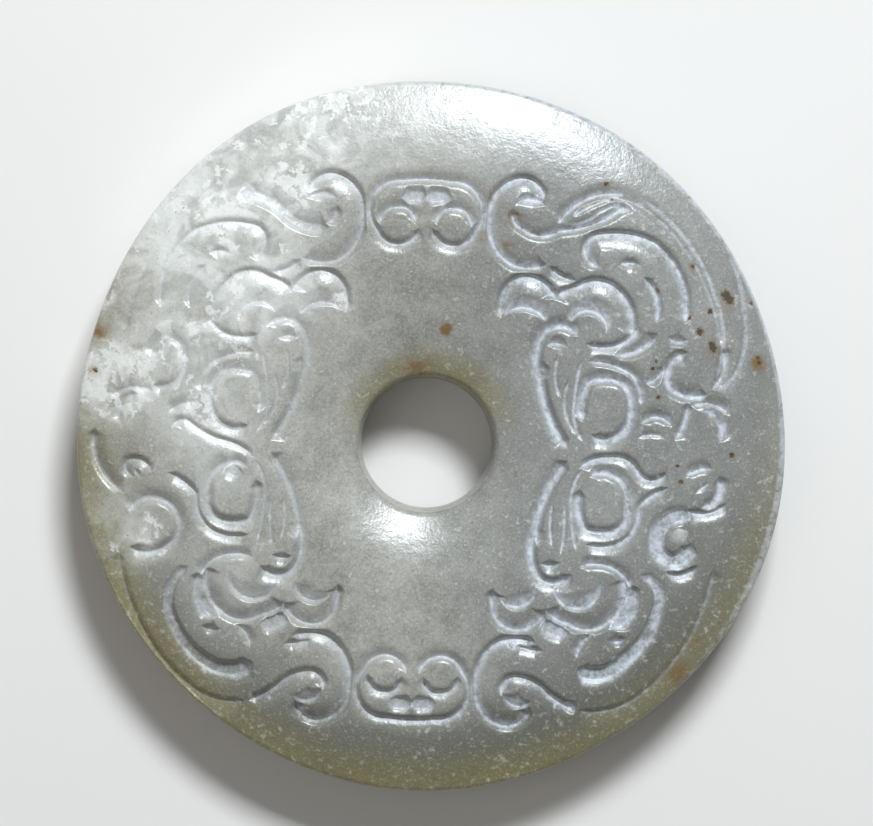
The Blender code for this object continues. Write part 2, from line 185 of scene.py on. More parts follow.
ONLY = {
    "top_right": (
        ("groove", (7.4, 20.7), (7.3, 19.7), (8.1, 18.9), (9.6, 18.3), (11.2, 18.8), (13.5, 19.2),
         (16.9, 21.3)),
        ("line", (11.3, 19.4), (12.8, 19.4), (14.5, 20.45), (15.8, 21.05), (17.0, 21.6)),
        ("line", (12.2, 19.9), (13.9, 21.0), (15.7, 21.6)),
        ("groove", (11.0, 19.2), (13.6, 21.6), (16.8, 21.9)),
        ("dish", (15.7, 20.8), (16.4, 20.9), (17.2, 20.55)),
        ("soft", (18.0, 21.6), (20.8, 19.5), (22.9, 16.9), (24.3, 14.2), (25.1, 11.6), (25.3, 9.2),
         (24.7, 6.3)),
        ("soft", (25.5, 17.5), (26.5, 15.0), (27.0, 12.5), (27.2, 10.3), (26.8, 8.1), (25.9, 6.5),
         (24.7, 5.6)),
        ("band", (15.9, 8.6), (18.0, 8.9), (19.8, 10.6)),
        ("groove", (20.5, 10.4), (21.4, 9.75), (22.4, 10.1)),
        ("groove", (18.6, 6.2), (19.4, 6.4), (20.4, 8.0)),
        ("band", (22.5, 8.9), (20.8, 7.8), (20.9, 5.9), (22.4, 5.2), (24.3, 5.5)),
        ("groove", (25.0, 9.6), (25.4, 7.6), (24.3, 5.8)),
        ("groove", (18.5, 2.6), (19.6, 3.4), (21.2, 2.5)),
        ("line", (18.1, 1.45), (19.3, 1.9), (20.8, 1.5)),
        ("groove", (22.4, 5.0), (22.2, 3.1), (21.3, 1.4)),
    ),
    "top_left": (
        ("groove", (7.6, 20.6), (7.6, 19.5), (8.6, 18.85)),
        ("slope", (8.0, 18.6), (10.1, 18.6), (12.0, 19.8), (13.8, 20.8), (15.9, 21.2)),
        ("groove", (13.0, 20.9), (14.6, 21.6), (15.1, 22.4)),
        ("band", (22.8, 4.8), (21.0, 5.0), (19.9, 6.9), (20.4, 8.5), (21.5, 8.95), (22.4, 8.3),
         (22.8, 7.0)),
        ("groove", (18.6, 3.5), (20.1, 3.35), (21.3, 2.4)),
        ("groove", (20.9, 1.2), (20.4, 1.9), (19.5, 2.0), (18.4, 1.2), (16.9, 0.5), (15.2, 0.0),
         (13.8, -1.0)),
    ),
    "low_right": (
        ("horn", (13.7, 18.0), (15.8, 18.4), (17.7, 17.2), (19.5, 15.2), (20.4, 12.7), (20.2, 10.9),
         (18.7, 9.9)),
        ("floor", (23.2, 5.1), (21.2, 5.2), (20.2, 7.0), (20.7, 8.3), (21.8, 8.7), (22.7, 8.1),
         (23.1, 7.0)),
        ("groove", (20.8, 9.5), (22.4, 9.9), (23.8, 8.9)),
        ("dish", (12.8, 20.9), (13.3, 21.3), (13.7, 21.9)),
        ("band", (23.6, 4.1), (25.2, 3.1), (25.1, 1.3)),
        ("groove", (24.9, 0.95), (23.5, 0.95), (22.3, 1.7)),
        ("groove", (22.4, 4.25), (24.2, 4.65), (26.2, 3.5)),
        ("groove", (13.4, 1.2), (14.6, 0.35), (16.1, 0.1), (17.5, 0.3), (18.4, 1.2), (19.4, 1.95),
         (20.9, 1.0)),
    ),
    "low_left": (
        ("horn", (13.4, 18.2), (15.2, 18.9), (17.2, 18.5), (19.4, 16.6), (20.7, 13.9), (20.3, 11.6),
         (19.0, 10.2)),
        ("band", (24.3, 6.1), (23.0, 4.7), (21.4, 4.8), (20.0, 6.6), (20.8, 8.5), (22.4, 9.2),
         (24.3, 8.8)),
        ("band", (27.4, -1.2), (26.9, 2.2), (24.7, 4.3)),
        ("groove", (22.4, 2.6), (23.4, 1.5), (24.6, 1.6), (24.5, 2.6), (23.6, 2.9)),
        ("floor", (14.6, 2.4), (15.6, 2.1), (16.5, 1.5)),
    ),
}

# The scroll at the top and at the bottom, which crosses the middle line
SCROLL = (
    ("groove", (-0.5, 18.9), (-2.1, 17.3), (-4.1, 18.5), (-4.3, 21.6), (-2.0, 22.65), (0.0, 22.8),
     (2.0, 22.65), (4.3, 21.6), (4.1, 18.5), (2.1, 17.3), (0.5, 18.9)),
)

# The stone's own marks on the disc, in millimetres: place, radius and strength
CLOUDS = (
    ((-22.0, 17.0), 12.0, 1.0), ((-15.0, 23.0), 11.0, 1.0), ((-27.5, 5.0), 6.0, 1.2),
    ((-20.0, 5.0), 9.0, 0.9), ((-7.0, 26.5), 9.0, 0.9), ((-13.0, 12.0), 9.0, 0.8),
    ((-26.0, -7.0), 6.0, 0.5), ((-17.0, -13.0), 7.0, 0.35), ((3.0, 25.0), 8.0, 0.35),
    ((14.0, -6.0), 8.0, 0.15), ((-18.0, -2.0), 6.0, 0.6), ((-24.0, -9.0), 3.0, 0.6),
)
PATCHES = (
    ((-28.2, 4.2), 3.4, 1.0), ((-27.5, 6.8), 2.3, 1.0), ((-27.3, 11.8), 2.1, 0.7),
    ((-24.0, 6.2), 2.2, 0.9), ((-22.4, 9.0), 1.6, 0.8), ((-20.3, 9.3), 1.8, 0.9),
    ((-15.3, 6.8), 1.4, 1.0), ((-19.2, 3.0), 2.1, 1.0), ((-17.5, 18.8), 2.9, 1.0),
    ((-15.3, 17.9), 2.0, 0.8), ((-12.0, 20.5), 3.1, 0.9), ((-22.0, 24.5), 2.0, 0.7),
    ((-23.2, -8.0), 2.1, 1.0), ((-22.6, -9.8), 1.7, 0.9), ((-9.0, 27.5), 3.9, 0.6),
    ((-5.0, 28.0), 2.6, 0.7), ((-24.7, 2.4), 2.0, 0.8), ((-21.0, 19.5), 2.0, 0.6),
    ((-16.5, 12.6), 1.6, 0.7), ((-7.5, 11.5), 1.3, 0.6), ((21.0, -8.0), 2.3, 0.36),
    ((23.0, -5.0), 1.8, 0.36), ((14.4, 21.6), 1.2, 0.25), ((-27.0, -10.0), 1.6, 0.5),
)
STAINS = (
    ((-1.2, 5.6), 2.3, 0.62), ((3.4, 4.6), 2.0, 0.17), ((-27.9, 8.9), 1.8, 0.9),
    ((-28.3, 5.6), 0.9, 0.9), ((20.9, -20.0), 1.7, 0.75), ((22.6, -17.5), 1.2, 0.4),
    ((6.3, 16.3), 1.0, 0.6), ((24.4, 7.2), 1.8, 0.2), ((27.7, 6.2), 1.0, 1.3),
    ((23.2, 8.6), 1.4, 0.3), ((5.3, 20.2), 1.0, 0.7), ((7.0, 18.4), 1.4, 0.5),
    ((13.5, 19.8), 1.4, 0.4), ((24.9, 11.0), 1.6, 0.2), ((22.2, 14.0), 0.9, 0.3),
    ((15.0, 21.0), 0.8, 0.6), ((4.6, 16.9), 1.2, 0.35), ((-24.0, -19.0), 5.0, 0.25),
    ((-27.0, 13.0), 1.6, 0.4),
)

# The rusty spot above the bore, as place, radius and strength
RUST_SPOT = ((1.35, 9.1), 0.8, 1.9)

# The old pits, as place and radius, and how many times its radius the dirt round a pit reaches
PITS = (
    ((24.85, 12.0), 0.35), ((25.2, 11.5), 0.37), ((22.1, 14.4), 0.24), ((19.0, 12.3), 0.23),
    ((23.6, 10.6), 0.24), ((21.8, 10.0), 0.20), ((22.7, 8.9), 0.29), ((23.7, 7.8), 0.25),
    ((23.85, 7.4), 0.27), ((27.65, 6.65), 0.20), ((27.8, 6.2), 0.20), ((27.1, 11.3), 0.20),
    ((18.7, 5.8), 0.17), ((19.0, 6.4), 0.14), ((19.2, 3.4), 0.19), ((25.4, -1.5), 0.22),
    ((21.1, -3.7), 0.20), ((24.4, -5.9), 0.16), ((20.8, -2.4), 0.16), ((5.2, 20.1), 0.21),
    ((14.8, 21.3), 0.20), ((-28.2, 5.6), 0.20), ((9.0, -12.1), 0.12), ((15.3, 20.0), 0.12),
)
PIT_HALO = 2.0

# Spots on the face are measured where heights are flattened, about a typical height of the
# face, so that they stay round on the dome and don't reach the back
FACE_LEVEL = 7.5
FLATTENED = 0.12

# The stone's noises, as clouds to a millimetre, detail, roughness and twist, and the one that makes
# the flecks ragged, as clouds to a millimetre and reach
BODY = (0.09, 2.0, 0.6)
MOTTLE = (0.5, 3.0, 0.62)
GRAIN = (1.6, 3.0, 0.7)
DUST = (5.0, 1.0, 0.6)
VEINS = (0.26, 3.0, 0.6, 1.0)
RAGGED = (1.3, 0.9)

# Where tints, painted shade and a painted highlight set in and where they are full, in millimetres
# to the right, upward or out from the axis: the cool side, the painted shade darkening the lower
# part, the olive edges, the painted highlight on the rim's upper right corner, and the whiter frost
COOL_ACROSS = (-3.0, 10.0)
SHADE_BELOW_UPWARD, SHADE_BELOW_OUTWARD = (2.0, -20.0), (19.0, 27.0)
EDGE_UPWARD, EDGE_OUTWARD, EDGE_ACROSS = (8.0, -16.0), (25.5, 29.6), (0.0, 26.0)
BORE_UPWARD, BORE_OUTWARD = (-1.0, 4.0), (8.6, 5.6)
LEFT_ACROSS = (-20.0, -28.5)
RIM_HIGHLIGHT_OUTWARD, RIM_HIGHLIGHT_DIAGONAL = (29.4, 29.7), (-2.0, 20.0)
FROST_ACROSS = (-14.0, 14.0)

# The white flecks, large and small, as cells to a millimetre, what the cloud and the patch layers
# add to a cell's random number, and from where to where the sum makes a fleck
FLECKS = ((0.75, 0.14, 0.55, 1.06, 1.22), (1.9, 0.21, 0.45, 1.06, 1.18))

# How far the flat pattern of cells leans, so that it crosses the rim's side too
LEAN = (0.6, 0.45, 0.0)

# How light passes into the stone, and the bump of its grain, in metres
INNER_LIGHT = {
    "IOR": 1.61, "Subsurface Weight": 0.4, "Subsurface Radius": (1.0, 1.0, 0.9),
    "Subsurface Scale": 0.0005,
}
GRAIN_BUMP = {"Strength": 0.9, "Distance": 0.00007}

# The point on the axis from which the rings of colour are measured, near the face's height
RING_CENTRE = (0.0, 0.0, 7.0)

# The studio: how far the floor reaches and how little it lies below the disc's back, in
# metres, the lights' places, sizes and colours, and the camera's film and range
FLOOR_REACH = 3.0
FLOOR_DROP = 0.00002
KEY_LIGHT = {"place": (0.128, 0.412, 0.44), "size": (0.20, 0.13), "colour": (0.87, 0.94, 1.0)}
FILL_LIGHT = {"place": (-0.3, -0.15, 0.5), "size": (0.5, 0.5), "colour": (1.0, 1.0, 1.0)}
FILM_WIDTH_MM = 36.0
CAMERA_RANGE = (0.01, 10.0)
AIM_SHARE = 0.85


def smooth(share):
    """Eases a share from 0 to 1 with no corner at either end: 3 s squared less 2 s cubed."""
    share = np.clip(share, 0.0, 1.0)
    return share * share * (3.0 - 2.0 * share)


def arc(start, way, end):
    """Points on the circle through three points, from the first to the last, a step apart."""
    a, b, c = (complex(*point) for point in (start, way, end))
    u, v = b - a, c - a
    middle = a + (v * abs(u) ** 2 - u * abs(v) ** 2) / (2j * (u.conjugate() * v).imag)
    radius = abs(a - middle)
    first = np.angle(a - middle)
    sweep = np.angle((c - middle) / (a - middle)) % (2 * np.pi)
    if np.angle((b - middle) / (a - middle)) % (2 * np.pi) > sweep:
        sweep -= 2 * np.pi
    pieces = max(LEAST_STEPS, int(np.ceil(abs(sweep) * radius / WAY_STEP)))
    points = middle + radius * np.exp(1j * (first + sweep * np.arange(1, pieces + 1) / pieces))
    return np.stack((points.real, points.imag), 1)


def wheel_way(points, left_right, top_bottom):
    """A stroke's even chain of points on the blank: its arcs, mirrored, turned and moved.

    A mirrored way runs backwards, so that its gentle slope stays on the left. Where two arcs
    meet, each point is eased towards the mean of its neighbours.
    """
    way = np.array(points[:1], float)
    for index in range(0, len(points) - 2, 2):
        way = np.concatenate((way, arc(*points[index:index + 3])))
    for _ in range(EASING_ROUNDS):
        way[1:-1] = (way[:-2] + 2 * way[1:-1] + way[2:]) / 4
    way *= (left_right, top_bottom)
    cosine, sine = np.cos(DESIGN_TURN), np.sin(DESIGN_TURN)
    way = way @ np.array(((cosine, sine), (-sine, cosine))) + DESIGN_MOVE
    return way if left_right == top_bottom else way[::-1]


def design():
    """Every stroke on the disc, as its kind, its way, and whether that runs backwards."""
    for quarter, signs in QUARTERS.items():
        half = UPPER if signs[1] > 0 else LOWER
        for kind, *points in QUARTER + half + ONLY[quarter]:
            yield kind, wheel_way(points, *signs), signs[0] != signs[1]
    for top_bottom in (1, -1):
        for kind, *points in SCROLL:
            yield kind, wheel_way(points, 1, top_bottom), top_bottom < 0


def reached(fade, along, whole):
    """How full a cut is at each place along its way, from 0 to 1.

    A "whole" cut swells and falls as half a sine wave to a power. The others are eased in and
    out at their ends, and a "tail" is also less the further along it is.
    """
    if fade == "whole":
        return np.clip(np.sin(np.pi * np.clip(along / whole, 0, 1)), 0, 1) ** SWELL_POWER
    share = smooth(np.minimum(along, whole - along) / min(FADE_LENGTH, whole / 2))
    if fade == "tail":
        share = share * (1 - TAIL_LOSS * np.clip(along / whole, 0, 1))
    return share


def wheel_cut(x, y, kind, way, backwards):
    """Depth of one cut at each point, and how frosted it leaves the stone there.

    Each point takes the nearest point of the way, and its offset to the left of it. Beyond the
    flat floor the depth falls from 1 to 0 as (1 - offset / width) to a power, with one width on
    the gentle side and another on the steep one. The widths shrink with the depth at the ends.
    The frost rises with the depth across the cut, and only where the cut is nearly full.
    """
    depth, floor, steep, gentle, roundness, frost_from, fade = CUTS[kind]
    ahead = np.gradient(way, axis=0)
    ahead /= np.hypot(ahead[:, 0], ahead[:, 1])[:, None]
    steps = np.hypot(*np.diff(way, axis=0).T)
    run = np.concatenate(((0.0,), np.cumsum(steps)))
    nearest = np.argmin((x[:, None] - way[:, 0]) ** 2 + (y[:, None] - way[:, 1]) ** 2, axis=1)
    dx, dy = x - way[nearest, 0], y - way[nearest, 1]
    tx, ty = ahead[nearest, 0], ahead[nearest, 1]
    along = run[nearest] + tx * dx + ty * dy
    left = tx * dy - ty * dx
    share = reached(fade, run[-1] - along if backwards else along, run[-1])
    inside = share > LEAST_SHARE
    share = np.maximum(share, LEAST_SHARE)
    offset = np.maximum(abs(left) / share - floor, 0) / np.where(left > 0, gentle, steep)
    across = np.clip(1 - offset, 0, 1) ** roundness
    frost = smooth((across - frost_from + FROST_LEAD) / FROST_RAMP) * smooth(share * 2)
    return depth * share * across * inside, frost * inside


def carving(x, y):
    """Depth of all the cuts together and the strongest frost at each point, in arrays.

    The cuts' depths are joined as the root of the sum of their powers, which rounds the ridge
    between two of them. Both are less where the disc is worn.
    """
    depth, frost = np.zeros(x.shape), np.zeros(x.shape)
    for kind, way, backwards in design():
        margin = sum(CUTS[kind][1:4])
        low, high = way.min(0) - margin, way.max(0) + margin
        near = np.flatnonzero((x > low[0]) & (x < high[0]) & (y > low[1]) & (y < high[1]))
        cut, white = wheel_cut(x[near], y[near], kind, way, backwards)
        depth[near] += cut ** CUT_BLEND
        frost[near] = np.maximum(frost[near], white)
    wear = WEAR_SHARE * smooth(1 - np.hypot(x - WEAR_CENTRE[0], y - WEAR_CENTRE[1]) / WEAR_REACH)
    return depth ** (1 / CUT_BLEND) * (1 - wear), frost * (1 - wear)


def hand_polish(x, y):
    """How the waves of the polish lower the face: long sine waves, each less its own size."""
    return sum(size * (np.sin(across * x + up * y + phase) - 1)
               for across, up, phase, size in POLISH_WAVES)


def out_of_true(x, y, sizes):
    """Where the hand-worked blank has the point that a true turned ring has at (x, y).

    The radius is stretched by cosines of the angle, fading in from the rim, and the points near
    the bore are moved with it.
    """
    radius, angle = np.hypot(x, y), np.arctan2(y, x)
    near_bore = smooth((BORE_SHIFT_REACH - radius) / (BORE_SHIFT_REACH - sizes.bore_radius / MM))
    near_rim = np.clip(1 - (sizes.outer_radius / MM - radius) / RIM_WANDER_REACH, 0, None)
    wander = sum(size * np.cos(waves * angle + phase) for waves, size, phase in RIM_WANDER)
    stretch = 1 + near_rim * wander / radius
    return x * stretch + BORE_SHIFT[0] * near_bore, y * stretch + BORE_SHIFT[1] * near_bore


def face_height(radius, sizes):
    """Height of the uncut dome: powers of the distance from the crest, falling both ways."""
    crest, rim, bore = sizes.crest_radius / MM, sizes.outer_radius / MM, sizes.bore_radius / MM
    outward = np.clip((radius - crest) / (rim - crest), 0, None) ** sizes.rim_fall
    inward = np.clip((crest - radius) / (crest - bore), 0, None) ** sizes.bore_fall
    top = sizes.thickness / MM
    return top - (top - sizes.face_at_rim / MM) * outward - (top - sizes.face_at_bore / MM) * inward


def leaning(heights, radius):
    """Angle above the horizontal, in degrees, at which the outside of a curve faces there."""
    step = 0.01
    slope = abs(heights(radius + step) - heights(radius - step)) / (2 * step)
    return 90 - np.degrees(np.arctan(slope))


def rounded(radius, height, size, start, end):
    """An edge as an arc about (radius, height), between two angles in degrees."""
    angle = np.radians(np.linspace(start, end, EDGE_POINTS))
    return np.stack((radius + size * np.cos(angle), height + size * np.sin(angle)), 1)


def section(sizes):
    """The ring's section, outward over the face, down the rim, inward below and up the bore.

    Returns rows of (radius, height) in millimetres, and how many of the first rows are on the
    face. Each edge is an arc that leaves the face or the back in the way that they lean there.
    The back lifts from its flat land as powers of the distance, and the bore's wall narrows and
    widens again as one cosine wave.
    """
    rim_round, bore_round = sizes.rim_round / MM, sizes.bore_round / MM
    narrow, wide = sizes.bore_radius / MM, (sizes.bore_radius + sizes.bore_flare) / MM
    mouth, brim = wide + bore_round, sizes.outer_radius / MM - rim_round
    land_in, land_out = sizes.land_inner / MM, sizes.land_outer / MM
    carved_from, carved_to = sizes.carved_from / MM, sizes.carved_to / MM

    def face(radius):
        return face_height(radius, sizes)

    def back(radius):
        outer = np.clip((radius - land_out) / (brim - land_out), 0, None) ** sizes.back_sweep
        inner = np.clip((land_in - radius) / (land_in - mouth), 0, None) ** sizes.back_sweep
        return outer * sizes.back_at_rim / MM + inner * sizes.back_at_bore / MM

    def corner(heights, radius, size, side):
        """Where a curve meets its rounded edge, and how it leans there."""
        lean = leaning(heights, radius)
        return radius + side * size * np.cos(np.radians(lean)), lean

    face_out, face_out_lean = corner(face, brim, rim_round, 1)
    face_in, face_in_lean = corner(face, mouth, bore_round, -1)
    back_out, back_out_lean = corner(back, brim, rim_round, 1)
    back_in, back_in_lean = corner(back, mouth, bore_round, -1)
    on_face = np.concatenate((
        np.linspace(face_in, carved_from, INNER_FACE_POINTS)[:-1],
        np.arange(carved_from, carved_to, sizes.grid_step / MM),
        np.linspace(carved_to, face_out, OUTER_FACE_POINTS),
    ))
    on_back = np.concatenate((
        np.linspace(back_out, land_out, OUTER_BACK_POINTS)[:-1],
        np.linspace(land_out, land_in, LAND_POINTS)[:-1],
        np.linspace(land_in, back_in, INNER_BACK_POINTS),
    ))
    rim_top = face(face_out) - rim_round * np.sin(np.radians(face_out_lean))
    rim_low = back(back_out) + rim_round * np.sin(np.radians(back_out_lean))
    bore_top = face(face_in) - bore_round * np.sin(np.radians(face_in_lean))
    bore_low = back(back_in) + bore_round * np.sin(np.radians(back_in_lean))
    up = np.linspace(0, 1, BORE_POINTS)[1:-1]
    wall = wide - (wide - narrow) * (0.5 - 0.5 * np.cos(2 * np.pi * up))
    rim_side = np.linspace(rim_top, rim_low, RIM_POINTS)[1:-1]
    return np.concatenate((
        np.stack((on_face, face(on_face)), 1),
        rounded(brim, rim_top, rim_round, face_out_lean, 0)[1:],
        np.stack((np.full(rim_side.shape, brim + rim_round), rim_side), 1),
        rounded(brim, rim_low, rim_round, 0, -back_out_lean)[:-1],
        np.stack((on_back, back(on_back)), 1),
        rounded(mouth, bore_low, bore_round, back_in_lean - 180, -180)[1:],
        np.stack((wall, bore_low + (bore_top - bore_low) * up), 1),
        rounded(mouth, bore_top, bore_round, 180, 180 - face_in_lean)[:-1],
    )), len(on_face)


def surface_normals(points):
    """Outward normals of a closed grid: the cross product of its two central differences."""
    down = np.roll(points, -1, 0) - np.roll(points, 1, 0)
    around = np.roll(points, -1, 1) - np.roll(points, 1, 1)
    normals = np.cross(down, around)
    return normals / np.linalg.norm(normals, axis=2, keepdims=True)


def ring_mesh(name, points):
    """A closed mesh from a grid that joins itself along both of its ways."""
    rows, columns = points.shape[:2]
    first = np.arange(rows * columns).reshape(rows, columns)
    below, beside = np.roll(first, -1, 0), np.roll(first, -1, 1)
    corners = np.stack((first, below, np.roll(below, -1, 1), beside), 2)
    mesh = bpy.data.meshes.new(name)
    mesh.vertices.add(rows * columns)
    mesh.vertices.foreach_set("co", (points * MM).astype(np.float32).ravel())
    mesh.loops.add(corners.size)
    mesh.loops.foreach_set("vertex_index", corners.astype(np.int32).ravel())
    mesh.polygons.add(rows * columns)
    mesh.polygons.foreach_set("loop_start", np.arange(0, corners.size, 4, dtype=np.int32))
    mesh.update(calc_edges=True)
    return mesh


def disc_mesh(sizes):
    """The carved disc: the section turned once round, put out of true, and lowered by the cuts."""
    rows, on_face = section(sizes)
    angle = np.linspace(0, 2 * np.pi, sizes.grid_columns, endpoint=False)
    x, y = out_of_true(rows[:, :1] * np.cos(angle), rows[:, :1] * np.sin(angle), sizes)
    height = np.repeat(rows[:, 1:], sizes.grid_columns, axis=1)
    depth, frost = np.zeros(x.shape), np.zeros(x.shape)
    cut, white = carving(x[:on_face].ravel(), y[:on_face].ravel())
    depth[:on_face] = cut.reshape(on_face, -1)
    frost[:on_face] = white.reshape(on_face, -1)
    on_top = smooth((height - sizes.face_at_rim / MM) / POLISH_RAMP)
    height = height - depth + hand_polish(x, y) * on_top
    points = np.stack((x, y, height), 2)
    mesh = ring_mesh("jade_disc", points)
    frost_layer = mesh.attributes.new("frost", "FLOAT", "POINT")
    frost_layer.data.foreach_set("value", frost.astype(np.float32).ravel())
    normal_layer = mesh.attributes.new("outward", "FLOAT_VECTOR", "POINT")
    normal_layer.data.foreach_set("vector", surface_normals(points).astype(np.float32).ravel())
    return mesh


def thinned(thing, triangles):
    """Joins the smallest facets until that many triangles are left, most where it is plain.

    The exact normals of the fine grid come along as a layer, and shade what is left.
    """
    thin = thing.modifiers.new("thin", "DECIMATE")
    thin.ratio = triangles / sum(len(face.vertices) - 2 for face in thing.data.polygons)
    graph = bpy.context.evaluated_depsgraph_get()
    mesh = bpy.data.meshes.new_from_object(
        thing.evaluated_get(graph), preserve_all_data_layers=True, depsgraph=graph
    )
    thing.modifiers.remove(thin)
    thing.data = mesh
    normals = np.zeros(len(mesh.vertices) * 3, np.float32)
    mesh.attributes["outward"].data.foreach_get("vector", normals)
    normals = normals.reshape(-1, 3)
    normals /= np.linalg.norm(normals, axis=1, keepdims=True)
    mesh.shade_smooth()
    mesh.normals_split_custom_set_from_vertices(normals.tolist())
    mesh.attributes.remove(mesh.attributes["outward"])
    return mesh


def marked(mesh, name, places):
    """Adds a layer with the places' strengths, each falling smoothly to 0 at its radius."""
    points = np.zeros(len(mesh.vertices) * 3, np.float32)
    mesh.vertices.foreach_get("co", points)
    x, y = points[0::3] / MM, points[1::3] / MM
    total = sum(strength * smooth(1 - np.hypot(x - middle[0], y - middle[1]) / radius)
                for middle, radius, strength in places)
    layer = mesh.attributes.new(name, "FLOAT", "POINT")
    layer.data.foreach_set("value", np.clip(total, 0, 1).astype(np.float32))


class Shade:
    """One value of a shader, held as a socket. Arithmetic on a number adds Math nodes."""

    def __init__(self, finish, socket):
        self.finish = finish
        self.socket = socket

    def maths(self, operation, first, second, clamp=False):
        settings = {"operation": operation, "use_clamp": clamp}
        return self.finish.node("ShaderNodeMath", settings, {0: first, 1: second})

    def __add__(self, other):
        return self.maths("ADD", self, other)

    __radd__ = __add__

    def __sub__(self, other):
        return self.maths("SUBTRACT", self, other)

    def __rsub__(self, other):
        return self.maths("SUBTRACT", other, self)

    def __mul__(self, other):
        return self.maths("MULTIPLY", self, other)

    __rmul__ = __mul__

    def most(self, other):
        """The larger of the two numbers."""
        return self.maths("MAXIMUM", self, other)

    def held(self):
        """The number, held between 0 and 1."""
        return self.maths("ADD", self, 0.0, clamp=True)

    def rise(self, start, end):
        """A smooth rise from 0 at start to 1 at end, or a fall where start is the larger."""
        span = {"Value": self, "From Min": start, "From Max": end, "To Min": 0.0, "To Max": 1.0}
        return self.finish.node("ShaderNodeMapRange", {"interpolation_type": "SMOOTHSTEP"}, span)


class Finish:
    """A material's shader tree. Every node that isn't plain arithmetic comes from node()."""

    def __init__(self, name):
        self.material = bpy.data.materials.new(name)
        self.material.use_nodes = True
        self.material.node_tree.nodes.clear()

    def node(self, kind, settings=None, inputs=None, output=0):
        """Adds a node, sets it up, fills its sockets with values or links, and gives an output."""
        made = self.material.node_tree.nodes.new(kind)
        for name, value in (settings or {}).items():
            setattr(made, name, value)
        for name, value in (inputs or {}).items():
            if isinstance(value, Shade):
                self.material.node_tree.links.new(value.socket, made.inputs[name])
            else:
                made.inputs[name].default_value = value
        return Shade(self, made.outputs[output]) if made.outputs else None

    def millimetres(self):
        """The point on the object in millimetres."""
        metres = {0: self.node("ShaderNodeTexCoord", output="Object"), "Scale": 1 / MM}
        return self.node("ShaderNodeVectorMath", {"operation": "SCALE"}, metres)

    def noise(self, place, scale, detail, roughness=0.5, distortion=0.0):
        """A cloudy number about a half, with so many clouds to a millimetre."""
        inputs = {
            "Vector": place, "Scale": scale, "Detail": detail,
            "Roughness": roughness, "Distortion": distortion,
        }
        return self.node("ShaderNodeTexNoise", inputs=inputs)

    def layer(self, name):
        """The number that the mesh holds for each of its points under a name."""
        return self.node("ShaderNodeAttribute", {"attribute_name": name}, output="Fac")

    def cells(self, place, scale):
        """A random number from 0 to 1 for each of the angular cells that the place is cut into."""
        inputs = {"Vector": place, "Scale": scale}
        colour = self.node("ShaderNodeTexVoronoi", {"voronoi_dimensions": "2D"}, inputs, "Color")
        return self.node("ShaderNodeSeparateColor", inputs={"Color": colour})

    def shaken(self, place, scale, reach):
        """The place, moved about by noise, which makes edges ragged there, and turned by the lean."""
        inputs = {"Vector": place, "Scale": scale, "Detail": 2.0, "Roughness": 0.65}
        cloudy = self.node("ShaderNodeTexNoise", inputs=inputs, output="Color")
        scaled = {0: cloudy, "Scale": reach * 2}
        push = self.node("ShaderNodeVectorMath", {"operation": "SCALE"}, scaled)
        moved = self.node("ShaderNodeVectorMath", {"operation": "ADD"}, {0: place, 1: push})
        leaning_by = {"Vector": moved, "Rotation": LEAN}
        return self.node("ShaderNodeVectorRotate", {"rotation_type": "EULER_XYZ"}, leaning_by)

    def distance(self, place, point):
        """How far the place is from a point."""
        ends = {0: place, 1: point}
        return self.node("ShaderNodeVectorMath", {"operation": "DISTANCE"}, ends, "Value")

    def near(self, level, centre, radius):
        """1 over a point of the level place, falling smoothly to 0 at the radius round it."""
        return self.distance(level, (*centre, FACE_LEVEL * FLATTENED)).rise(radius, 0.0)

    def mixed(self, share, first, second):
        """A colour that goes from the first to the second as the share goes from 0 to 1."""
        inputs = {"Factor": share, 6: first, 7: second}
        return self.node("ShaderNodeMix", {"data_type": "RGBA"}, inputs, 2)

    def done(self, shader):
        """Ends the tree with the shader, and gives the material."""
        self.node("ShaderNodeOutputMaterial", inputs={"Surface": shader})
        return self.material


